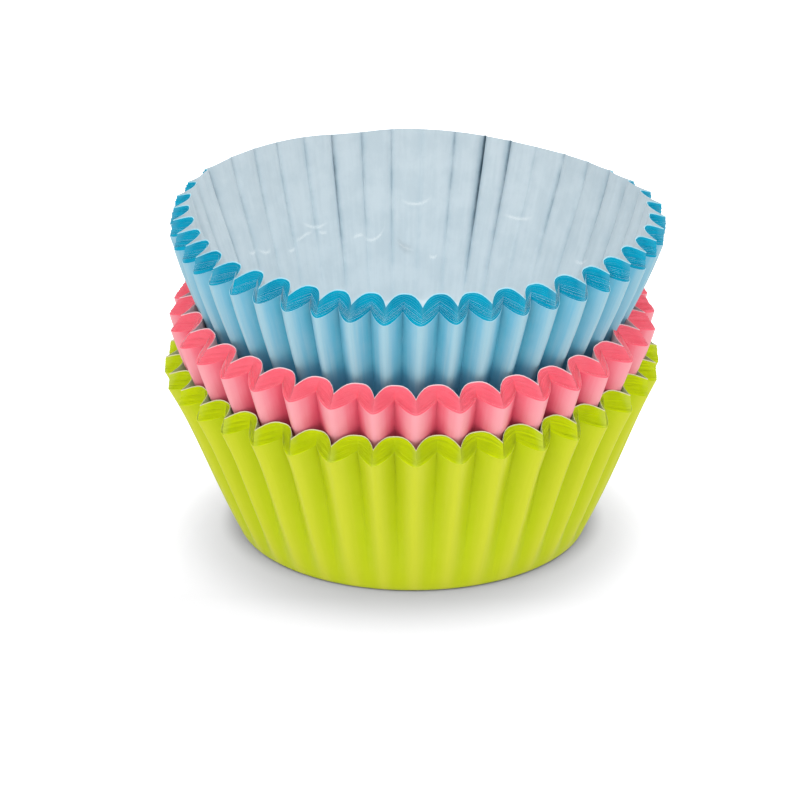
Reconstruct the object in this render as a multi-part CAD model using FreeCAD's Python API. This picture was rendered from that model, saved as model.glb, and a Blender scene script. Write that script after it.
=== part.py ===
"""Stack of cupcake liners: three nests of pleated paper cups, each set in the mouth of the one below.

A nest is twenty equal paper cups pushed into one another. They lie as close as the pages of a book,
so a nest is one solid: its outside is the outermost cup, its inside the innermost cup, and the band
round its mouth is the row of cut edges, where each cup stands a little above the last.
A cup is a flat disc pressed to a round base, a small bend and a flared wall. The disc is too wide for
the rim it is bent up to, and pleats take up the spare paper: they start at the bend and are deepest
at the rim. Paper is flat between its folds, so a wall is made of flat facets stretched from one ring
of folds to the next. On the outside of a nest the paper stands out in full columns between sharp
creases; on its inside the columns face inwards. The pleats of the pink nest lie in those of the
green one. The blue cups have more and finer pleats, so that nest sits on the tips of the pink ones.
Millimetres and degrees. The origin is the middle of the lowest base, on the surface it stands on.
"""
import FreeCAD
import Part
import math
import os

# One paper cup, measured to the middle of its pleats
base_flat_radius = 24.6
base_bend_radius = 2.2
rim_radius = 35.8
cup_height = 25.8

# A nest of cups
liners_in_nest = 20
liner_step = 0.126
mouth_spread = 0.25
seat_gap = 0.25

# How far up the wall each ring of pleats is measured, and its depth there against the rim
waist_share = 0.3
waist_depth_share = 0.42
shoulder_share = 0.76
shoulder_depth_share = 0.82

# How much lower the tips stand than the creases, against the depth of the pleat
tip_drop_share = 0.45

# Cross-section of one pleat: folds at these shares of its width from the sharp edge, and how full its
# column is between them, where 1 is a straight-sided zigzag and more is rounder
flank_share = 0.22
cheek_share = 0.36
inside_fullness = 2.5

# Green and pink cups
wide_pleat_count = 36
wide_pleat_depth = 2.8
wide_pleat_fullness = 1.4
wide_wall_bow = 0.5
wide_first_crease = 265.7

# Blue cups
fine_pleat_count = 45
fine_pleat_depth = 2.7
fine_pleat_fullness = 1.65
fine_wall_bow = 0.8
fine_first_crease = 266.6

nest_rise = liners_in_nest * liner_step
wall_lean = math.atan2(rim_radius - base_flat_radius - base_bend_radius, cup_height)
foot_radius = base_flat_radius + base_bend_radius * math.cos(wall_lean)
foot_height = base_bend_radius * (1.0 - math.sin(wall_lean))


class Cup:
    """Sizes of one kind of cup, and the height its nest's base stands at."""

    def __init__(self, pleat_count, pleat_depth, fullness, wall_bow, first_crease):
        self.pleat_count = pleat_count
        self.pleat_depth = pleat_depth
        self.fullness = fullness
        self.wall_bow = wall_bow
        self.first_crease = math.radians(first_crease)
        self.base_height = 0.0


def column(width, fullness):
    """How far a column stands off its sharp edge, 0 to 1, at a share of the pleat's width from it."""
    return 1.0 - (1.0 - 2.0 * width) ** fullness


def columns_out(cup):
    """Folds of one pleat as width and depth shares, from crease to crease, on the outside of a nest."""
    half = [(width, column(width, cup.fullness)) for width in (0.0, flank_share, cheek_share, 0.5)]
    return half + [(1.0 - width, out) for width, out in reversed(half[1:-1])]


def columns_in(cup):
    """The same on the inside of a nest, where the columns face inwards and the sharp edges outwards."""
    half = [(0.5 - width, 1.0 - column(width, inside_fullness))
            for width in (0.5, cheek_share, flank_share, 0.0)]
    return half + [(1.0 - width, out) for width, out in reversed(half[1:-1])]


def round_edge(cup):
    """Two points a pleat on a plain circle."""
    return [(0.0, 0.5), (0.5, 0.5)]


def wall_ring(cup, share, depth_share):
    """Mean radius, height over the base and pleat depth of the wall at a share of its height."""
    bow = cup.wall_bow * min(share / shoulder_share, (1.0 - share) / (1.0 - shoulder_share))
    radius = foot_radius + share * (rim_radius - foot_radius) + bow
    height = foot_height + share * (cup_height - foot_height)
    return radius, height, cup.pleat_depth * depth_share


def ring(cup, radius, height, depth, folds):
    """Points round one closed ring, each with the share of the way round at which it stands."""
    points = []
    for pleat in range(cup.pleat_count):
        for along, out in folds(cup):
            way = (pleat + along) / cup.pleat_count
            angle = cup.first_crease + 2.0 * math.pi * way
            reach = radius + depth * (out - 0.5)
            drop = depth * tip_drop_share * (out - 0.5)
            point = FreeCAD.Vector(reach * math.cos(angle), reach * math.sin(angle), height - drop)
            points.append((way, point))
    points.append((1.0, points[0][1]))
    return points


def flat_face(points):
    """Flat face with its corners at the points."""
    return Part.Face(Part.makePolygon(points + [points[0]]))


def facets(low_ring, high_ring):
    """Flat three-cornered facets that join two rings, stepping round both at once."""
    faces = []
    low = 0
    high = 0
    while low < len(low_ring) - 1 or high < len(high_ring) - 1:
        low_next = low_ring[low + 1][0] if low < len(low_ring) - 1 else 2.0
        high_next = high_ring[high + 1][0] if high < len(high_ring) - 1 else 2.0
        corners = [low_ring[low][1], high_ring[high][1]]
        if low_next <= high_next:
            low += 1
            corners.append(low_ring[low][1])
        else:
            high += 1
            corners.append(high_ring[high][1])
        faces.append(flat_face(corners))
    return faces


def nest(cup):
    """One nest as a closed solid: outside wall, band of cut edges, inside wall and both base discs."""
    low = cup.base_height
    lift = low + nest_rise
    waist_radius, waist_height, waist_depth = wall_ring(cup, waist_share, waist_depth_share)
    shoulder_radius, shoulder_height, shoulder_depth = wall_ring(cup, shoulder_share,
                                                                 shoulder_depth_share)
    mouth_radius, mouth_height, mouth_depth = wall_ring(cup, 1.0, 1.0)
    rings = [
        ring(cup, base_flat_radius, low, 0.0, round_edge),
        ring(cup, foot_radius, low + foot_height, 0.0, round_edge),
        ring(cup, waist_radius, low + waist_height, waist_depth, columns_out),
        ring(cup, shoulder_radius, low + shoulder_height, shoulder_depth, columns_out),
        ring(cup, mouth_radius, low + mouth_height, mouth_depth, columns_out),
        ring(cup, mouth_radius - mouth_spread, lift + mouth_height, mouth_depth, columns_in),
        ring(cup, shoulder_radius - mouth_spread, lift + shoulder_height, shoulder_depth, columns_in),
        ring(cup, waist_radius, lift + waist_height, waist_depth, columns_in),
        ring(cup, base_flat_radius, lift, 0.0, round_edge),
    ]
    faces = []
    for end_ring in (rings[0], rings[-1]):
        faces.append(flat_face([point for way, point in end_ring[:-1]]))
    for one_ring, next_ring in zip(rings[:-1], rings[1:]):
        faces += facets(one_ring, next_ring)
    shell = Part.makeShell(faces)
    shell.sewShape()
    solid = Part.makeSolid(shell)
    if solid.Volume < 0.0:
        solid.reverse()
    return solid


def seat_height(lower, upper, lower_share, upper_share):
    """Base height at which the upper nest wedges in the lower one's mouth, less the seat gap.

    The shares say how far off the middle of its pleats each nest meets the other: a half at the tips.
    """
    mouth_radius, mouth_height, mouth_depth = wall_ring(lower, 1.0, 1.0)
    lower_reach = lower_share * mouth_depth
    opening_radius = mouth_radius - mouth_spread - lower_reach - seat_gap
    opening_height = lower.base_height + nest_rise + mouth_height + lower_reach * tip_drop_share
    reaches = []
    for share, depth_share in [(waist_share, waist_depth_share),
                               (shoulder_share, shoulder_depth_share), (1.0, 1.0)]:
        radius, height, depth = wall_ring(upper, share, depth_share)
        reach = upper_share * depth
        reaches.append((radius + reach, height - reach * tip_drop_share))
    for (near_radius, near_height), (far_radius, far_height) in zip(reaches[:-1], reaches[1:]):
        if near_radius <= opening_radius <= far_radius:
            way = (opening_radius - near_radius) / (far_radius - near_radius)
            return opening_height - near_height - way * (far_height - near_height)
    raise ValueError("the upper nest doesn't sit in the mouth of the lower one")


green = Cup(wide_pleat_count, wide_pleat_depth, wide_pleat_fullness, wide_wall_bow, wide_first_crease)
pink = Cup(wide_pleat_count, wide_pleat_depth, wide_pleat_fullness, wide_wall_bow, wide_first_crease)
blue = Cup(fine_pleat_count, fine_pleat_depth, fine_pleat_fullness, fine_wall_bow, fine_first_crease)

# Pink pleats lie in green ones, and their flanks come closest half-way from crease to tip.
# Blue pleats don't match pink ones, so tip meets tip.
flank_middle = 0.25
pink.base_height = seat_height(green, pink, column(flank_middle, inside_fullness) - 0.5,
                               column(flank_middle, pink.fullness) - 0.5)
blue.base_height = seat_height(pink, blue, 0.5, 0.5)

os.makedirs("parts", exist_ok=True)
for name, cup in [("green_liners", green), ("pink_liners", pink), ("blue_liners", blue)]:
    nest(cup).exportStep("parts/" + name + ".step")
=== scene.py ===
"""Looks of the stack of cupcake liners: three nests with every cut edge at their mouths, table and light."""
from collections import namedtuple
import math
import random

import bpy
import numpy as np
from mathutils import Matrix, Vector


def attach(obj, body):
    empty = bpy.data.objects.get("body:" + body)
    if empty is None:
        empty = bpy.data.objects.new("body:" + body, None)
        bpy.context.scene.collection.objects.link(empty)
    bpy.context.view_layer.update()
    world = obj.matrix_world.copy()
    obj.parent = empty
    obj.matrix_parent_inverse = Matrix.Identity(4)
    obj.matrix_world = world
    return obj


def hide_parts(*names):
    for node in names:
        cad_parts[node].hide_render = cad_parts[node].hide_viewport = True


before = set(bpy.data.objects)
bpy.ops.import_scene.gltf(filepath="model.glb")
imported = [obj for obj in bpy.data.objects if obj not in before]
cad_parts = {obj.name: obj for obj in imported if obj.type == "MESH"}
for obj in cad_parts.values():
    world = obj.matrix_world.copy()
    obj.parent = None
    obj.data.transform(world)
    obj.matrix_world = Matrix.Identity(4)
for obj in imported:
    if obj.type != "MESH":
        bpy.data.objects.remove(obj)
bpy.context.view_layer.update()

MM = 0.001
WHITE = (1.0, 1.0, 1.0, 1.0)

# One paper cup, in millimetres. Its base bends tighter than in the CAD source, as the photo shows.
BASE_FLAT_RADIUS = 25.5
BASE_BEND_RADIUS = 1.2
RIM_RADIUS = 35.8
CUP_HEIGHT = 25.8
MOUTH_SPREAD = 0.25
WALL_LEAN = math.atan2(RIM_RADIUS - BASE_FLAT_RADIUS - BASE_BEND_RADIUS, CUP_HEIGHT)
FOOT_RADIUS = BASE_FLAT_RADIUS + BASE_BEND_RADIUS * math.cos(WALL_LEAN)
FOOT_HEIGHT = BASE_BEND_RADIUS * (1 - math.sin(WALL_LEAN))

# Thickness of the paper, and of the innermost cup's edge, which is drawn thicker so that it shows
PAPER = 0.04
CUT_EDGE = 0.08

# How far the inner face of a sheet stands inwards and upwards from the outer one, against its thickness
INWARDS = 0.93
UPWARDS = 0.37

# A sheet takes at most this share of the gap to the next cup, and the outermost one always its own share
SHEET_SHARE = 0.55
OUTERMOST_SHARE = 0.6

# Share of the gap between two cups that the flanks of the pleats leave
FLANK_SHARE = 0.8

# Rows of points up a wall, as shares of its height, and across a pleat; the points crowd at its folds
WALL_ROWS = (0.0, 0.05, 0.11, 0.18, 0.26, 0.35, 0.45, 0.56, 0.66, 0.76, 0.84, 0.9, 0.96, 1.0)
POINTS_PER_PLEAT = 14
CROWDING = 0.45
SHARP_ANGLE = math.radians(40)

# Rows of points over the flat base and round its bend, as shares of its radius and of the turn
FLAT_ROWS = (0.35, 0.8, 1.0)
BEND_ROWS = (0.35, 0.7)

# Height in the UV map, where the wall runs from 0 to 1: at the middle of the base, how much it grows from
# there to the bend, and how much it grows round the bend
MIDDLE_V = -0.3
FLAT_V = 0.2
BEND_V = 0.08

# The groove between two cut edges, as a share of the wall
GROOVE = 0.005

# The rim's unevenness starts at this share of the wall and is full after this much more
UNEVEN_FROM = 0.9
UNEVEN_SPAN = 0.1

# How much further round the pleats stand than an even spacing gives, in pleats: over the far side, and
# around one angle at the right, in degrees
FAR_LAG = 0.24
RIGHT_LAG = 0.34
RIGHT_LAG_ANGLE = 52
RIGHT_LAG_WIDTH = 22

# How uneven the pleats are: a crease's place in pleats, a column's depth, the strength of a fold
CREASE_SPREAD = 0.06
DEPTH_SPREAD = (0.93, 1.05)
FOLD_SPREAD = (0.1, 0.4)

# The same for the innermost cup: its creases' places, the depth that its folds lack, and how their growth
# up the wall differs. At the front it is this share as uneven as at the back.
INNER_CREASE_SPREAD = 0.05
INNER_DEPTH_LACKS = (0.0, 0.25, 0.4, 0.55)
INNER_GROWTH_SPREAD = (-0.3, 0.5)
FRONT_UNEVENNESS = 0.3

# Power with which a pleat's depth grows up the wall
PLEAT_GROWTH = 0.72

# On the far side, from this sine of the angle and fully after this much more, a weak fold loses up to
# this share of its depth
FACING_FROM = 0.25
FACING_SPAN = 0.4
WEAK_FOLD_LOSS = 0.88

# Gaps between the cups of a nest against each other: their spread, the gap outside, how much more there is
# inside, and the outermost gap
GAP_SPREAD = (0.6, 1.1)
OUTER_GAP = 0.75
INNER_GAP_GROWTH = 1.1
OUTERMOST_GAP = 1.5

# Shape of a column: how much lower its tip stands than its creases, against the depth of the pleat, how
# soft its creases get down the wall, and how much narrower the inner folds are at the back
TIP_DROP = 0.45
VALLEY_SOFTNESS = 0.7
BACK_NARROWNESS = 0.9

# The wall's bow, which has its middle high up, and its ripple in millimetres
BOW_POWER = 2.5
RIPPLE = 0.05

# The slit that each fold ends in on the inside: its width in pleats, its depth in millimetres, and how it
# grows up the wall
SLIT_WIDTH = 0.14
SLIT_DEPTH = 0.4
SLIT_GROWTH = 2.2
SLIT_START = 0.3

# The three nests: pleats, their depth and the angle of the first, base height, bow of the wall, height of
# the stepped band of cut edges, number of cut edges, how round the columns are outside and inside, how far
# the mouth stands off to the side, how much it slopes to the right and to the back and drops, how uneven
# the rims are, how far the innermost cup stands off to the side and how wide it is, where the mouth sags
# (angle, width, drop), where it is pressed in (angle, width, depth), the share of cups, from outside, with
# a pale cut edge, and the strength of the folds that the camera looks at, by pleat
NESTS = {
    "green": dict(pleats=36, depth=2.8, first=265.7, base=0.0, bow=-0.3, rise=2.52, liners=18,
                  roundness=(1.55, 2.9), mouth_x=0.1, slope=(0.02, 0.0), drop=0.0, uneven=0.0015, seed=3,
                  dents=((180, 25, -0.45),), pale_edges=0.0),
    "pink": dict(pleats=36, depth=2.8, first=265.7, base=8.87, bow=0.3, rise=2.52, liners=18,
                 roundness=(1.55, 2.9), mouth_x=0.1, slope=(0.0, 0.024), drop=-0.05, uneven=0.002, seed=3,
                 inner_width=0.965, dents=((170, 22, 0.8), (10, 22, 1.1)), pale_edges=0.1),
    "blue": dict(pleats=45, depth=2.7, first=266.6, base=21.9, bow=0.25, rise=2.52, liners=14,
                 roundness=(1.8, 2.8), mouth_x=0.8, slope=(0.008, -0.01), drop=-0.15, uneven=0.004, seed=8,
                 inner_x=0.25,
                 sags=((138, 22, -0.8), (108, 10, 0.4), (57, 22, 1.2), (30, 20, 0.35), (100, 25, -0.2)),
                 dents=((155, 17, -1.3), (30, 18, 0.9), (195, 15, 0.5)), pale_edges=0.65,
                 folds={15: 0.25, 16: 0.15, 17: 0.35, 18: 0.1, 19: 0.55, 20: 0.85, 21: 0.25, 22: 0.0,
                        23: 0.2, 24: 0.2, 25: 0.45, 26: 0.15, 27: 0.2, 28: 0.15, 29: 0.15}),
}

# Buckled spots on the far inner wall of the blue nest, drawn as painted highlights: place in pleats, height
# as a share of the wall, half width in pleats, how much the ends rise and how much it tilts
FAR_CRINKLES = (
    (22.61, 0.551, 0.59, 0.039, -0.007),
    (24.23, 0.356, 0.47, 0.054, -0.027),
    (24.83, 0.389, 0.27, -0.012, -0.005),
    (26.53, 0.472, 0.54, 0.037, 0.014),
    (27.7, 0.37, 0.26, 0.017, -0.004),
    (27.04, 0.436, 0.47, -0.002, -0.019),
    (29.7, 0.44, 0.31, 0.015, 0.003),
    (29.09, 0.413, 0.37, 0.026, 0.014),
    (26.28, 0.432, 0.19, 0.009, 0.008),
    (21.9, 0.241, 0.19, 0.02, -0.004),
    (18.59, 0.54, 0.68, 0.021, -0.011),
    (15.43, 0.414, 0.41, 0.024, -0.027),
)

# Colours of the nests. Printed side: the colour, its deep one as painted shade in the creases, its pale one
# as painted sheen on the crests and for pale blotches, the crests' width, the painted shade at the foot and
# of the line in each crease, between which heights the foot shade fades out, how far it creeps up the
# creases and how strong the streaks are. The green foot's heights lie below the wall, so green has only the
# lines. Inside: the colour, its painted shades in the folds and slits, and its shine. Band below the cut
# edges: the colour, its deep shade, the shade of the rubbed folds and how much they are rubbed. Then the
# pale cut edges and the other ones.
COLOURS = {
    "green": dict(print=dict(base="#c4d210", deep="#c1d400", pale="#d4d934", crest_width=0.75,
                             foot_shade="#9fb402", foot_low=-0.4, foot_high=-0.3, creep=0.05, drawn_out=0.4),
                  inside=dict(base="#c8d29a", deep="#b0bd70", slit_shade="#7f8d3c", shine="#d4dcac"),
                  band=dict(base="#d4e200", deep="#c4d600", faded="#e4e896", fading=0.24),
                  edge="#ece2bc", band_edge="#d6e22c"),
    "pink": dict(print=dict(base="#fd8a9a", deep="#ff526c", pale="#fcacb4", crest_width=0.7,
                            foot_shade="#d43a54", foot_low=0.64, foot_high=0.84, creep=0.15, drawn_out=0.35),
                 inside=dict(base="#f4d2da", deep="#e2b8c4", slit_shade="#b88a98", shine="#fadce2"),
                 band=dict(base="#ff7788", deep="#fb6a7e", faded="#ffb4bc", fading=0.15),
                 edge="#fbdadd", band_edge="#ff8b9a"),
    "blue": dict(print=dict(base="#7ac0dc", deep="#54bbdb", pale="#a9cedb", crest_width=0.66,
                            foot_shade="#4a9ace", foot_low=0.46, foot_high=0.62, creep=0.05, drawn_out=0.8),
                 inside=dict(base="#c1cfd6", deep="#a5bfcc", slit_shade="#4f7486", shine="#cdd9df"),
                 band=dict(base="#00aacc", deep="#0096ba", faded="#9fd2de", fading=0.2),
                 edge="#ace4f2", band_edge="#4fbcd4"),
}
# White of the painted highlights along buckled creases
BUCKLE_HIGHLIGHT = (0.92, 0.95, 0.96, 1.0)

# How much greyer the printed colours are in the light that they throw on what is near
BOUNCE_GREY = 0.92

# Table, in metres: half its size, its grey in the light and to the camera, between which distances from
# the middle it glows white to the camera and by how much; this glow is painted light, which lifts all but
# the nearest shadow. The part behind the cups glows besides, between its own distances, from this far in
# front of the middle and more the further back it lies, up to its most.
TABLE_HALF_SIZE = 3
TABLE_LIT = (0.9, 0.9, 0.9, 1.0)
TABLE_SEEN = (0.62, 0.62, 0.63, 1.0)
TABLE_GLOW_FROM = 0.027
TABLE_GLOW_TO = 0.044
TABLE_GLOW = 0.33
BACK_FROM = 0.0262
BACK_TO = 0.0298
BACK_START = 0.028
BACK_GROWTH = 10.5
TABLE_BACK_GLOW = 0.6

# Light of the white room, and where both lamps point
ROOM_LIGHT = (0.74, 0.74, 0.74, 1.0)
LAMP_TARGET = (0, 0, 0.02)

# The photographer's long lens, a little above the cups
AIM = (-0.001863, 0.0, 0.019655)
LOOK_DOWN = math.radians(23.65)
DISTANCE = 0.9
PIXELS_PER_MM = 6.6
IMAGE_WIDTH = 800
SENSOR = 36.0

# Materials of a nest, in the order in which its mesh holds them
PRINTED, INSIDE, CUT, BAND, BAND_EDGE = range(5)

# One row of points round a nest, with its height and its places across in the UV map, and the material of
# the faces up to the next row
Row = namedtuple("Row", "points v u mark")


def waves(seed, count, top):
    """Smooth random waves round the cup, as a function of the angle, about 1 high."""
    dice = random.Random(seed)
    parts = [(dice.randint(1, top), dice.uniform(0, 2 * math.pi), dice.uniform(0.5, 1))
             for i in range(count)]
    total = math.sqrt(sum(size * size for turns, start, size in parts) / 2)

    def height(angle):
        return sum(size * np.sin(turns * angle + start) for turns, start, size in parts) / total

    return height


def swell(angle, centre, width):
    """1 at the centre, an angle in degrees, falling off smoothly to both sides."""
    away = (np.degrees(angle) - centre + 180) % 360 - 180
    return np.exp(-(away / width) ** 2)


class Nest:
    """One nest of cups: where its pleats stand and what shape its walls take from outside to inside.

    A cup's way is how far into the nest it lies, from 0 for the outermost to 1 for the innermost.
    """

    def __init__(self, pleats, depth, first, base, bow, rise, liners, roundness, mouth_x, slope, drop,
                 uneven, seed, pale_edges, inner_x=0.0, inner_width=1.0, sags=(), dents=(), folds=None):
        self.pleats = pleats
        self.depth = depth
        self.base = base
        self.bow = bow
        self.mouth_x = mouth_x
        self.slope = slope
        self.roundness = roundness
        self.uneven = uneven
        self.drop = drop
        self.sags = sags
        self.dents = dents
        self.pale_edges = pale_edges
        self.inner_x = inner_x
        self.inner_width = inner_width
        self.rise = rise
        self.liners = liners
        dice = random.Random(seed)
        step = 2 * math.pi / pleats
        first = math.radians(first)
        self.creases = np.array([first + step * (k + dice.uniform(-CREASE_SPREAD, CREASE_SPREAD))
                                 for k in range(pleats)])
        self.creases += FAR_LAG * step * np.maximum(np.sin(self.creases), 0)
        self.creases += RIGHT_LAG * step * swell(self.creases, RIGHT_LAG_ANGLE, RIGHT_LAG_WIDTH)
        self.outer_depth = np.array([dice.uniform(*DEPTH_SPREAD) for k in range(pleats)])
        # the inside of the far wall, which the camera looks into, is the most uneven
        far = FRONT_UNEVENNESS + (1 - FRONT_UNEVENNESS) * np.maximum(np.sin(self.creases), 0)
        shifts = [dice.uniform(-INNER_CREASE_SPREAD, INNER_CREASE_SPREAD) for k in range(pleats)]
        self.inner_shift = step * far * np.array(shifts)
        known = folds or {}
        self.folds = np.array([known.get(k, dice.uniform(*FOLD_SPREAD)) for k in range(pleats)])
        # on the far side a weak fold is a shallow one
        facing = np.clip((np.sin(self.creases) - FACING_FROM) / FACING_SPAN, 0, 1)
        self.fold_depth = 1 - facing * WEAK_FOLD_LOSS * (1 - self.folds)
        self.inner_depth = 1 - far * np.array([dice.choice(INNER_DEPTH_LACKS) for k in range(pleats)])
        growth = np.array([dice.uniform(*INNER_GROWTH_SPREAD) for k in range(pleats)])
        self.inner_power = PLEAT_GROWTH + far * growth
        # the outer cups of a nest sit close together and the inner ones stand further out of it
        gaps = [dice.uniform(*GAP_SPREAD) * (OUTER_GAP + INNER_GAP_GROWTH * (k / liners) ** 2)
                for k in range(liners - 1)]
        gaps[0] = OUTERMOST_GAP
        self.lifts = np.concatenate([[0.0], np.cumsum(gaps) / sum(gaps)])
        self.thickness = [min(PAPER, SHEET_SHARE * self.paper_room(k)) for k in range(liners - 1)]
        self.thickness[0] = OUTERMOST_SHARE * self.paper_room(0)
        self.thickness.append(CUT_EDGE)
        # each rim and the ripple of the walls have a seed of their own
        self.rims = [waves(seed * 31 + k, count=4, top=9) for k in range(liners)]
        self.ripple = waves(seed + 70, count=9, top=60)

    def paper_room(self, index):
        """Gap from one cup to the next, measured along the radius."""
        step = self.lifts[index + 1] - self.lifts[index]
        return step * (self.rise * math.tan(WALL_LEAN) * FLANK_SHARE + MOUTH_SPREAD)

    def columns(self, way):
        """Angle, place from crease to crease, depth and its growth up the wall, and UV of each point."""
        start = self.creases + self.inner_shift * way
        end = np.append(start[1:], start[0] + 2 * math.pi)
        factor = self.outer_depth + (self.inner_depth - self.outer_depth) * way
        power = PLEAT_GROWTH + (self.inner_power - PLEAT_GROWTH) * way
        next_factor = np.append(factor[1:], factor[0])
        next_power = np.append(power[1:], power[0])
        along = np.linspace(0, 1, POINTS_PER_PLEAT, endpoint=False)
        # points crowd towards the creases at both ends and the fold in the middle
        along = along - np.sin(4 * math.pi * along) / (4 * math.pi) * CROWDING
        angle = (start[:, None] + (end - start)[:, None] * along[None]).ravel()
        depth = (factor[:, None] + (next_factor - factor)[:, None] * along[None]).ravel()
        power = (power[:, None] + (next_power - power)[:, None] * along[None]).ravel()
        place = np.tile(along, self.pleats)
        uv = (np.arange(self.pleats)[:, None] + along[None]).ravel()
        return angle, place, (depth, power), uv

    def out(self, place, angle, way, share):
        """How far the paper stands out across a pleat, 0 to 1, at a share of the wall's height."""
        full_out = 1 - np.abs(2 * place - 1) ** self.roundness[0]
        # below the rim the creases open into soft valleys
        soft = VALLEY_SOFTNESS * np.sqrt(np.clip(1 - share, 0, 1))
        full_out = full_out * (1 - soft) + (0.5 - 0.5 * np.cos(2 * math.pi * place)) * soft
        back = (np.sin(angle) + 1) / 2
        inward = np.abs(2 * ((place + 0.5) % 1) - 1)
        strength = np.repeat(self.fold_depth, POINTS_PER_PLEAT)
        full_in = inward ** (self.roundness[1] + BACK_NARROWNESS * back) * strength
        return full_out * (1 - way) + full_in * way

    def wall(self, share, angle, place, factor, way, lift):
        """Points of the wall at a share of its height, as arrays of radius and height."""
        bow = self.bow * np.sin(math.pi * np.minimum(share, 1) ** BOW_POWER)
        radius = FOOT_RADIUS + share * (RIM_RADIUS - FOOT_RADIUS) + bow - MOUTH_SPREAD * way * share
        height = self.base + lift + FOOT_HEIGHT + share * (CUP_HEIGHT - FOOT_HEIGHT)
        depth = self.depth * factor[0] * np.maximum(share, 0.0) ** factor[1]
        out = self.out(place, angle, way, share) - 0.5
        ripple = RIPPLE * self.ripple(angle) * np.sin(math.pi * np.minimum(share, 1.0))
        slit = np.clip(1 - np.abs(2 * place - 1) / SLIT_WIDTH, 0, 1)
        slit = slit * np.repeat(self.folds, POINTS_PER_PLEAT)
        slit = SLIT_DEPTH * way * slit * np.clip(SLIT_GROWTH * share - SLIT_START, 0, 1)
        radius = radius + depth * out + ripple + slit
        height = height - depth * TIP_DROP * out
        return radius, height

    def place_points(self, angle, radii, heights, way):
        """Points in metres, with the mouth moved aside, pressed in, sloped and sagging."""
        up = (heights - self.base) / (CUP_HEIGHT + self.rise)
        for centre, width, dent in self.dents:
            radii = radii - dent * swell(angle, centre, width) * up ** 2
        # the innermost cups of a nest stand a little off and narrower from side to side
        x = radii * np.cos(angle) * (1 - (1 - self.inner_width) * way * up) + self.inner_x * way * up
        y = radii * np.sin(angle)
        lift = self.slope[0] * x + self.slope[1] * y - self.drop
        for centre, width, sag in self.sags:
            lift = lift - sag * swell(angle, centre, width)
        lift = lift * up ** 2
        return np.stack([x + self.mouth_x * up, y, heights + lift], -1) * MM

    def base_rows(self, lift):
        """Radius, height and UV height of the flat base and its bend, from the middle out."""
        level = self.base + lift
        rows = [(BASE_FLAT_RADIUS * flat, level, MIDDLE_V + FLAT_V * flat) for flat in FLAT_ROWS]
        turn = math.pi / 2 - WALL_LEAN
        for part in BEND_ROWS:
            radius = BASE_FLAT_RADIUS + BASE_BEND_RADIUS * math.sin(turn * part)
            height = level + BASE_BEND_RADIUS * (1 - math.cos(turn * part))
            rows.append((radius, height, -BEND_V + BEND_V * part))
        return rows

    def skin(self):
        """Rows over the whole nest, from the underside over the cut edges to the inner floor."""
        rows = []

        def wall_row(index, share, mark, inner_face=False):
            way = self.lifts[index]
            angle, place, factor, uv = self.columns(way)
            level = share
            if share > UNEVEN_FROM:
                level = share + self.uneven * self.rims[index](angle) * (share - UNEVEN_FROM) / UNEVEN_SPAN
            radius, height = self.wall(level, angle, place, factor, way, self.rise * way)
            if inner_face:
                radius = radius - self.thickness[index] * INWARDS
                height = height + self.thickness[index] * UPWARDS
            rows.append(Row(self.place_points(angle, radius, height, way), share, uv, mark))

        def base_part(index, mark, inner_face, turn_round):
            way = self.lifts[index]
            angle, place, factor, uv = self.columns(way)
            made = []
            for radius, height, up in self.base_rows(self.rise * way):
                height += self.thickness[index] if inner_face else 0.0
                radii = np.full_like(angle, radius)
                heights = np.full_like(angle, height)
                made.append(Row(self.place_points(angle, radii, heights, way), up, uv, mark))
            rows.extend(reversed(made) if turn_round else made)

        last = self.liners - 1
        outermost_edge = CUT if self.pale_edges > 0.5 else BAND_EDGE
        base_part(0, PRINTED, inner_face=False, turn_round=False)
        for share in WALL_ROWS:
            wall_row(0, share, PRINTED if share < 1 else outermost_edge)
        for index in range(self.liners):
            if index > 0:
                wall_row(index, 1 - GROOVE, CUT if index == last else BAND)
                pale = index == last or index < self.pale_edges * last
                wall_row(index, 1.0, CUT if pale else BAND_EDGE)
            if index < last:
                wall_row(index, 1.0, INSIDE, inner_face=True)
                wall_row(index, 1 - GROOVE, BAND, inner_face=True)
        for share in reversed(WALL_ROWS):
            wall_row(last, share, INSIDE, inner_face=True)
        base_part(last, INSIDE, inner_face=True, turn_round=True)
        return rows


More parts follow.
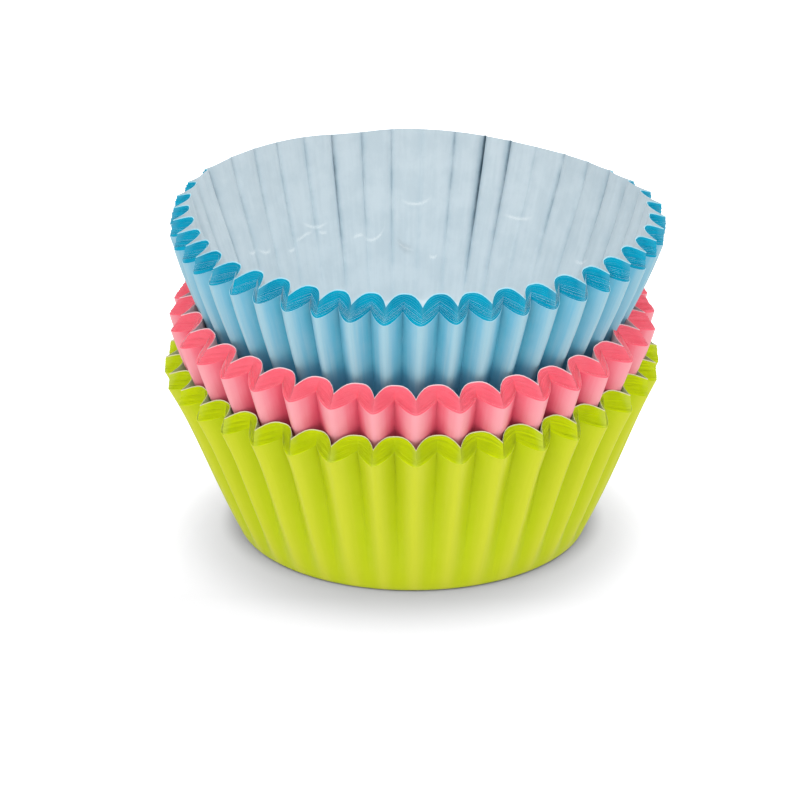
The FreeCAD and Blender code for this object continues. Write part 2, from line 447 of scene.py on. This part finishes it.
def nest_mesh(name, nest, materials):
    """One closed mesh of a whole nest, with every cut edge at the mouth standing free.

    Its first two points are the middles of the underside and of the inner floor.
    """
    rows = nest.skin()
    column_count = len(rows[0].u)
    across = np.arange(column_count)
    following = (across + 1) % column_count
    poles = np.array([rows[0].points.mean(0), rows[-1].points.mean(0)])
    points = np.concatenate([poles] + [row.points for row in rows])
    quads = []
    quad_uv = []
    marks = []
    for number, (row, next_row) in enumerate(zip(rows[:-1], rows[1:])):
        low = 2 + number * column_count
        high = low + column_count
        quads.append(np.stack([low + across, low + following, high + following, high + across], 1))
        after = np.append(row.u[1:], nest.pleats)
        low_v = np.full(column_count, row.v)
        high_v = np.full(column_count, next_row.v)
        corners = np.stack([row.u, low_v, after, low_v, after, high_v, row.u, high_v], 1)
        quad_uv.append(corners.reshape(-1, 4, 2))
        marks.append(np.full(column_count, row.mark))
    quad = np.concatenate(quads)
    top = 2 + (len(rows) - 1) * column_count
    fan_out = np.stack([np.zeros(column_count, int), 2 + following, 2 + across], 1)
    fan_in = np.stack([np.ones(column_count, int), top + across, top + following], 1)
    triangle = np.concatenate([fan_out, fan_in])
    marks = np.concatenate(marks + [np.repeat([PRINTED, INSIDE], column_count)])
    loops = np.concatenate([quad.ravel(), triangle.ravel()])
    starts = np.concatenate([np.arange(len(quad)) * 4, len(quad) * 4 + np.arange(len(triangle)) * 3])
    mesh = bpy.data.meshes.new(name)
    mesh.vertices.add(len(points))
    mesh.vertices.foreach_set("co", points.ravel())
    mesh.loops.add(len(loops))
    mesh.loops.foreach_set("vertex_index", loops)
    mesh.polygons.add(len(starts))
    mesh.polygons.foreach_set("loop_start", starts)
    mesh.polygons.foreach_set("material_index", marks)
    mesh.update(calc_edges=True)
    layer = mesh.uv_layers.new(name="pleats")
    wall_uv = np.concatenate(quad_uv).reshape(-1, 2)
    fan_uv = np.full((len(triangle) * 3, 2), MIDDLE_V)
    layer.data.foreach_set("uv", np.concatenate([wall_uv, fan_uv]).ravel())
    strength = mesh.attributes.new("fold_strength", "FLOAT", "POINT")
    per_row = np.repeat(nest.folds, POINTS_PER_PLEAT)
    strength.data.foreach_set("value", np.concatenate([[0.0, 0.0], np.tile(per_row, len(rows))]))
    mesh.polygons.foreach_set("use_smooth", np.ones(len(starts), bool))
    mesh.set_sharp_from_angle(angle=SHARP_ANGLE)
    for material in materials:
        mesh.materials.append(material)
    mesh.validate()
    return mesh


def paint(code):
    """Linear colour of a #rrggbb code."""
    parts = [int(code[i:i + 2], 16) / 255 for i in (1, 3, 5)]
    linear = [p / 12.92 if p <= 0.04045 else ((p + 0.055) / 1.055) ** 2.4 for p in parts]
    return (*linear, 1.0)


class Nodes:
    """Short ways to add and join the nodes of one tree."""

    def __init__(self, tree):
        self.tree = tree

    def add(self, kind, **settings):
        node = self.tree.nodes.new(kind)
        for key, value in settings.items():
            setattr(node, key, value)
        return node

    def join(self, source, target):
        self.tree.links.new(source, target)

    def feed(self, socket, value):
        if isinstance(value, bpy.types.NodeSocket):
            self.join(value, socket)
        else:
            socket.default_value = value

    def math(self, operation, first, second=0.0):
        node = self.add("ShaderNodeMath", operation=operation)
        self.feed(node.inputs[0], first)
        self.feed(node.inputs[1], second)
        return node.outputs[0]

    def plus(self, first, second):
        return self.math("ADD", first, second)

    def minus(self, first, second):
        return self.math("SUBTRACT", first, second)

    def times(self, first, second):
        return self.math("MULTIPLY", first, second)

    def size_of(self, value):
        return self.math("ABSOLUTE", value)

    def ramp(self, value, low, high, out_low=0.0, out_high=1.0):
        """Smooth step from one value to another while the input goes from low to high."""
        node = self.add("ShaderNodeMapRange", interpolation_type="SMOOTHSTEP")
        for socket, item in zip(node.inputs[:5], (value, low, high, out_low, out_high)):
            self.feed(socket, item)
        return node.outputs[0]

    def mix(self, share, first, second):
        """Mix of two colours; sockets 6 and 7 are the colour ones."""
        node = self.add("ShaderNodeMix", data_type="RGBA")
        self.feed(node.inputs[0], share)
        self.feed(node.inputs[6], first)
        self.feed(node.inputs[7], second)
        return node.outputs[2]

    def noise(self, vector, scale, detail=3.0, roughness=0.5):
        node = self.add("ShaderNodeTexNoise")
        if vector is not None:
            self.join(vector, node.inputs["Vector"])
        node.inputs["Scale"].default_value = scale
        node.inputs["Detail"].default_value = detail
        node.inputs["Roughness"].default_value = roughness
        return node.outputs["Fac"]

    def parts(self, vector):
        """The separate parts of a vector."""
        split = self.add("ShaderNodeSeparateXYZ")
        self.join(vector, split.inputs[0])
        return split.outputs


def effect(name, inputs, outputs):
    """Empty shader node group with named sockets; returns it, its nodes, input node and output node."""
    tree = bpy.data.node_groups.new(name, "ShaderNodeTree")
    for label, value in inputs.items():
        socket = tree.interface.new_socket(label, in_out="INPUT", socket_type="NodeSocketFloat")
        socket.default_value = value
    for label in outputs:
        tree.interface.new_socket(label, in_out="OUTPUT", socket_type="NodeSocketFloat")
    nodes = Nodes(tree)
    return tree, nodes, nodes.add("NodeGroupInput"), nodes.add("NodeGroupOutput")


def pleat_place_effect():
    """Where a point lies on its cup: across its pleat, up the wall, and which pleat it is in."""
    tree, n, given, result = effect("pleat place", {}, ("Across", "Up", "Pleat", "Crease", "Fold"))
    uv = n.parts(n.add("ShaderNodeUVMap", uv_map="pleats").outputs[0])
    across = n.math("FRACT", uv[0])
    n.join(across, result.inputs["Across"])
    n.join(uv[1], result.inputs["Up"])
    n.join(n.math("FLOOR", uv[0]), result.inputs["Pleat"])
    # 1 at the creases between columns, 0 in the middle of a column
    crease = n.size_of(n.minus(n.times(across, 2.0), 1.0))
    n.join(crease, result.inputs["Crease"])
    n.join(n.minus(1.0, crease), result.inputs["Fold"])
    return tree


def paper_grain_effect():
    """Fine fibres and faint blotches of greaseproof paper."""
    tree, n, given, result = effect("paper grain", {}, ("Blotch", "Height"))
    where = n.add("ShaderNodeTexCoord").outputs["Object"]
    n.join(n.noise(where, scale=260.0, detail=4.0, roughness=0.6), result.inputs["Blotch"])
    fine = n.noise(where, scale=2600.0, detail=3.0, roughness=0.6)
    soft = n.noise(where, scale=420.0, detail=2.0, roughness=0.5)
    n.join(n.plus(n.times(fine, 0.25), soft), result.inputs["Height"])
    return tree


def streak_effect():
    """Fine uneven lines that run up the wall, where the pressing tool has drawn the paper."""
    tree, n, given, result = effect("drawn streaks", {"Fineness": 9.0, "Length": 1.2}, ("Value",))
    uv = n.add("ShaderNodeUVMap", uv_map="pleats")
    stretch = n.add("ShaderNodeCombineXYZ")
    n.join(given.outputs["Fineness"], stretch.inputs[0])
    n.join(given.outputs["Length"], stretch.inputs[1])
    scaled = n.add("ShaderNodeVectorMath", operation="MULTIPLY")
    n.join(uv.outputs[0], scaled.inputs[0])
    n.join(stretch.outputs[0], scaled.inputs[1])
    n.join(n.noise(scaled.outputs[0], scale=1.0, detail=4.0, roughness=0.6), result.inputs["Value"])
    return tree


def crinkle_effect(place_tree):
    """Small bowed creases across a column, where the paper has buckled, in some of the pleats."""
    tree, n, given, result = effect("crinkles", {"Share": 0.4, "Low": 0.35, "High": 0.75, "Seed": 0.0},
                                    ("Mask", "Height"))
    place = n.add("ShaderNodeGroup")
    place.node_tree = place_tree
    pick = n.add("ShaderNodeTexWhiteNoise", noise_dimensions="2D")
    spot = n.add("ShaderNodeCombineXYZ")
    # a crinkle sits on the fold side, so pleats are counted from column middle to column middle
    moved = n.plus(place.outputs["Across"], 0.5)
    centre = n.minus(n.math("FRACT", moved), 0.5)
    count = n.plus(place.outputs["Pleat"], n.math("FLOOR", moved))
    n.join(count, spot.inputs[0])
    n.join(n.plus(given.outputs["Seed"], 1.3), spot.inputs[1])
    n.join(spot.outputs[0], pick.inputs["Vector"])
    dice = n.add("ShaderNodeSeparateColor")
    n.join(pick.outputs["Color"], dice.inputs[0])
    shown = n.math("LESS_THAN", pick.outputs["Value"], given.outputs["Share"])
    span = n.minus(given.outputs["High"], given.outputs["Low"])
    height = n.plus(given.outputs["Low"], n.times(dice.outputs[0], span))
    bow = n.plus(n.times(dice.outputs[1], 0.5), 0.05)
    curve = n.times(n.times(centre, centre), bow)
    slope = n.times(n.times(centre, n.minus(dice.outputs[2], 0.5)), 0.2)
    wobble = n.times(n.minus(n.noise(None, scale=700.0, detail=3.0, roughness=0.6), 0.5), 0.07)
    line = n.plus(n.plus(n.plus(height, curve), slope), wobble)
    away = n.minus(place.outputs["Up"], line)
    near = n.ramp(n.size_of(away), 0.0, 0.008, 1.0, 0.0)
    broken = n.ramp(n.noise(None, scale=1500.0, detail=2.0), 0.38, 0.56)
    ends = n.ramp(n.size_of(centre), 0.12, 0.42, 1.0, 0.0)
    mask = n.times(n.times(near, ends), shown)
    n.join(n.times(mask, broken), result.inputs["Mask"])
    n.join(n.times(n.times(n.ramp(away, -0.04, 0.04), ends), shown), result.inputs["Height"])
    return tree


def far_crinkle_effect():
    """The buckled spots on the far inner wall of the top nest, as the mask of their painted highlight."""
    tree, n, given, result = effect("far crinkles", {}, ("Mask",))
    uv = n.parts(n.add("ShaderNodeUVMap", uv_map="pleats").outputs[0])
    wobble = n.times(n.minus(n.noise(None, scale=800.0, detail=3.0, roughness=0.6), 0.5), 0.07)
    total = 0.0
    for across, up, half_width, rise, tilt in FAR_CRINKLES:
        aside = n.math("DIVIDE", n.minus(uv[0], across), half_width)
        curve = n.plus(n.times(n.times(aside, aside), rise), n.times(aside, tilt))
        line = n.plus(n.plus(curve, up), wobble)
        near = n.ramp(n.size_of(n.minus(uv[1], line)), 0.001, 0.0095, 1.0, 0.0)
        ends = n.ramp(n.size_of(aside), 0.3, 1.0, 1.0, 0.0)
        total = n.math("MAXIMUM", n.times(near, ends), total)
    broken = n.ramp(n.noise(None, scale=1300.0, detail=2.0), 0.34, 0.5, 0.15, 1.0)
    n.join(n.times(total, broken), result.inputs["Mask"])
    return tree


PLACE = pleat_place_effect()
GRAIN = paper_grain_effect()
STREAKS = streak_effect()
CRINKLE = crinkle_effect(PLACE)
FAR_CRINKLE = far_crinkle_effect()


def new_material(name):
    """Material with its nodes and its Principled shader."""
    material = bpy.data.materials.new(name)
    material.use_nodes = True
    n = Nodes(material.node_tree)
    shader = material.node_tree.nodes["Principled BSDF"]
    return material, n, shader


def use(n, tree, **values):
    """Outputs of a new node that holds an effect, with these values at its inputs."""
    node = n.add("ShaderNodeGroup")
    node.node_tree = tree
    for key, value in values.items():
        n.feed(node.inputs[key.capitalize()], value)
    return node.outputs


def bump(n, shader, height, distance):
    """Relief of the surface, in metres."""
    node = n.add("ShaderNodeBump")
    node.inputs["Strength"].default_value = 1.0
    node.inputs["Distance"].default_value = distance
    n.join(height, node.inputs["Height"])
    n.join(node.outputs[0], shader.inputs["Normal"])


def grey_of(code):
    """Neutral colour as light as a #rrggbb code."""
    red, green, blue = paint(code)[:3]
    light = 0.2126 * red + 0.7152 * green + 0.0722 * blue
    return (light, light, light, 1.0)


def calm_bounce(n, colour, code):
    """The colour itself, but greyer in the light that it throws on the table and the cups near it."""
    ray = n.add("ShaderNodeLightPath")
    return n.mix(n.times(ray.outputs["Is Diffuse Ray"], BOUNCE_GREY), colour, grey_of(code))


def printed_paper(name, seed, base, deep, pale, crest_width, foot_shade, foot_low, foot_high, creep, drawn_out):
    """The coloured outer side, with painted shade in the creases and at the foot, and a painted sheen where
    a column stands out.
    """
    material, n, shader = new_material(name)
    place = use(n, PLACE)
    grain = use(n, GRAIN)
    streaks = use(n, STREAKS, fineness=9.0, length=1.2)
    crinkle = use(n, CRINKLE, share=0.14, low=0.1, high=0.6, seed=seed)
    drawn = n.times(n.minus(streaks["Value"], 0.5), drawn_out)
    shifted = n.plus(place["Crease"], drawn)
    # painted shade: the creases are deeper in colour, fading out towards the bottom of the wall
    pressed = n.ramp(place["Up"], 0.0, 0.35)
    crease = n.times(n.ramp(shifted, 0.38, 1.0), pressed)
    colour = n.mix(n.times(crease, 0.85), paint(base), paint(deep))
    # painted shade: a darker line down each crease, in the colour of the foot shade
    line = n.times(n.ramp(place["Crease"], 0.88, 0.97, 0.0, 0.12), pressed)
    colour = n.mix(line, colour, paint(foot_shade))
    # painted sheen: paler where a column stands out
    crest_sheen = n.ramp(shifted, 0.0, crest_width, 0.85, 0.0)
    colour = n.mix(crest_sheen, colour, paint(pale))
    blotch = n.ramp(grain["Blotch"], 0.3, 0.7, 0.0, 0.12)
    colour = n.mix(blotch, colour, paint(pale))
    # painted shade: the colour deepens towards the foot of the wall, where the cup below shades it, and
    # further up in the creases
    foot_shade_height = n.minus(place["Up"], n.times(shifted, creep))
    colour = n.mix(n.ramp(foot_shade_height, foot_low, foot_high, 0.6, 0.0), colour, paint(foot_shade))
    # painted highlight: a pale line along the buckled creases
    colour = n.mix(n.times(crinkle["Mask"], 0.2), colour, paint(pale))
    n.join(calm_bounce(n, colour, base), shader.inputs["Base Color"])
    shader.inputs["Roughness"].default_value = 0.42
    shader.inputs["Specular IOR Level"].default_value = 0.12
    height = n.plus(n.times(grain["Height"], 0.5), crinkle["Height"])
    bump(n, shader, n.plus(height, streaks["Value"]), 0.00005)
    return material


def plain_inside(name, seed, far_wall, base, deep, slit_shade, shine):
    """The unprinted inner side, where the colour only shows through, with painted shade in its folds and
    slits and painted highlights along its buckled creases.
    """
    material, n, shader = new_material(name)
    place = use(n, PLACE)
    grain = use(n, GRAIN)
    streaks = use(n, STREAKS, fineness=5.0, length=2.5)
    crinkle = use(n, CRINKLE, share=0.12, low=0.3, high=0.72, seed=seed)
    strength = n.add("ShaderNodeAttribute", attribute_name="fold_strength").outputs["Fac"]
    # painted shade: the folds are deeper in colour, more so where the fold is strong
    folded = n.plus(n.times(strength, 0.7), 0.3)
    shade = n.times(n.ramp(place["Fold"], 0.6, 1.0, 0.0, 0.6), folded)
    colour = n.mix(shade, paint(base), paint(deep))
    # painted shade: a dark line in the slit of each strong fold, growing up the wall, over the real slit
    upper = n.ramp(place["Up"], 0.15, 0.75)
    slit = n.times(n.ramp(place["Fold"], 0.86, 0.97), n.times(strength, upper))
    colour = n.mix(slit, colour, paint(slit_shade))
    fibre = n.plus(n.times(grain["Blotch"], 0.6), n.times(streaks["Value"], 0.4))
    colour = n.mix(n.ramp(fibre, 0.38, 0.62, 0.0, 0.8), colour, paint(shine))
    # painted highlight: white along the buckled creases
    buckled = crinkle["Mask"]
    if far_wall:
        buckled = n.math("MAXIMUM", buckled, use(n, FAR_CRINKLE)["Mask"])
    colour = n.mix(n.times(buckled, 0.75), colour, BUCKLE_HIGHLIGHT)
    n.join(colour, shader.inputs["Base Color"])
    shader.inputs["Roughness"].default_value = 0.5
    height = n.plus(n.times(grain["Height"], 0.5), crinkle["Height"])
    bump(n, shader, height, 0.00008)
    return material


def cut_band(name, base, deep, faded, fading):
    """The printed side of the cups between, of which only the strip below the cut edge is seen."""
    material, n, shader = new_material(name)
    grain = use(n, GRAIN)
    place = use(n, PLACE)
    colour = n.mix(n.ramp(grain["Blotch"], 0.3, 0.7), paint(base), paint(deep))
    # where the folds press together the print is rubbed thin
    rubbed = n.times(n.ramp(place["Fold"], 0.72, 1.0), n.ramp(grain["Blotch"], 0.35, 0.6))
    colour = n.mix(n.times(rubbed, fading), colour, paint(faded))
    n.join(colour, shader.inputs["Base Color"])
    shader.inputs["Roughness"].default_value = 0.7
    shader.inputs["Specular IOR Level"].default_value = 0.1
    return material


def plain(name, colour):
    """Paper of one colour, for the cut edges."""
    material, n, shader = new_material(name)
    shader.inputs["Base Color"].default_value = paint(colour)
    shader.inputs["Roughness"].default_value = 0.6
    return material


for name, size in NESTS.items():
    nest = Nest(**size)
    look = COLOURS[name]
    seed = float(size["seed"])
    dress = [printed_paper(name + " print", seed, **look["print"]),
             plain_inside(name + " inside", seed, name == "blue", **look["inside"]),
             plain(name + " cut edge", look["edge"]),
             cut_band(name + " band", **look["band"]),
             plain(name + " band edge", look["band_edge"])]
    piece = bpy.data.objects.new(name + "_paper_cups", nest_mesh(name + "_paper_cups", nest, dress))
    bpy.context.scene.collection.objects.link(piece)
    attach(piece, "root")
    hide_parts(name + "_liners")

# Table: a pale sheet far wider than the view
half = TABLE_HALF_SIZE
floor_mesh = bpy.data.meshes.new("table")
corners = [(-half, -half, 0), (half, -half, 0), (half, half, 0), (-half, half, 0)]
floor_mesh.from_pydata(corners, [], [(0, 1, 2, 3)])
table = bpy.data.objects.new("table", floor_mesh)
table_paint, n, shader = new_material("table")
shader.inputs["Roughness"].default_value = 0.9
shader.inputs["Specular IOR Level"].default_value = 0.1
# painted light: to the camera the table is a darker grey than in the light it throws, and glows white by
# itself, more so away from the cups and behind them, which keeps only the nearest shadow
to_camera = n.add("ShaderNodeLightPath").outputs["Is Camera Ray"]
n.join(n.mix(to_camera, TABLE_LIT, TABLE_SEEN), shader.inputs["Base Color"])
spot = n.add("ShaderNodeTexCoord").outputs["Object"]
length = n.add("ShaderNodeVectorMath", operation="LENGTH")
n.join(spot, length.inputs[0])
away = length.outputs["Value"]
glow_round = n.ramp(away, TABLE_GLOW_FROM, TABLE_GLOW_TO, 0.0, TABLE_GLOW)
behind = n.times(n.plus(n.parts(spot)[1], BACK_START), BACK_GROWTH)
behind = n.math("MINIMUM", n.math("MAXIMUM", behind, 0.0), TABLE_BACK_GLOW)
glow = n.plus(glow_round, n.times(behind, n.ramp(away, BACK_FROM, BACK_TO)))
shader.inputs["Emission Color"].default_value = WHITE
n.join(n.times(to_camera, glow), shader.inputs["Emission Strength"])
floor_mesh.materials.append(table_paint)
bpy.context.scene.collection.objects.link(table)

# White room: seen white, and lighting the cups from all round
world = bpy.data.worlds.new("white room")
bpy.context.scene.world = world
world.use_nodes = True
n = Nodes(world.node_tree)
room = world.node_tree.nodes["Background"]
ray = n.add("ShaderNodeLightPath")
n.join(n.mix(ray.outputs["Is Camera Ray"], ROOM_LIGHT, WHITE), room.inputs["Color"])
room.inputs["Strength"].default_value = 1.0


def lamp(name, place, size, power):
    """Round lamp that points at the cups."""
    light = bpy.data.lights.new(name, "AREA")
    light.shape = "DISK"
    light.size = size
    light.energy = power
    holder = bpy.data.objects.new(name, light)
    holder.location = place
    aim = np.array(LAMP_TARGET) - np.array(place)
    holder.rotation_euler = Vector(aim).to_track_quat("-Z", "Y").to_euler()
    bpy.context.scene.collection.objects.link(holder)


lamp("wide light over the camera", place=(-0.14, -0.55, 0.9), size=1.0, power=5.5)
lamp("soft light from the right", place=(0.4, 0.05, 0.8), size=0.8, power=1.7)

camera = bpy.data.cameras.new("camera")
camera.sensor_width = SENSOR
camera.lens = SENSOR * PIXELS_PER_MM * DISTANCE * 1000 / IMAGE_WIDTH
camera.clip_start = 0.05
camera.clip_end = 20.0
eye = bpy.data.objects.new("camera", camera)
eye.location = (AIM[0], -DISTANCE * math.cos(LOOK_DOWN), AIM[2] + DISTANCE * math.sin(LOOK_DOWN))
eye.rotation_euler = (math.pi / 2 - LOOK_DOWN, 0, 0)
bpy.context.scene.collection.objects.link(eye)
bpy.context.scene.camera = eye
bpy.context.scene.view_settings.view_transform = "Standard"
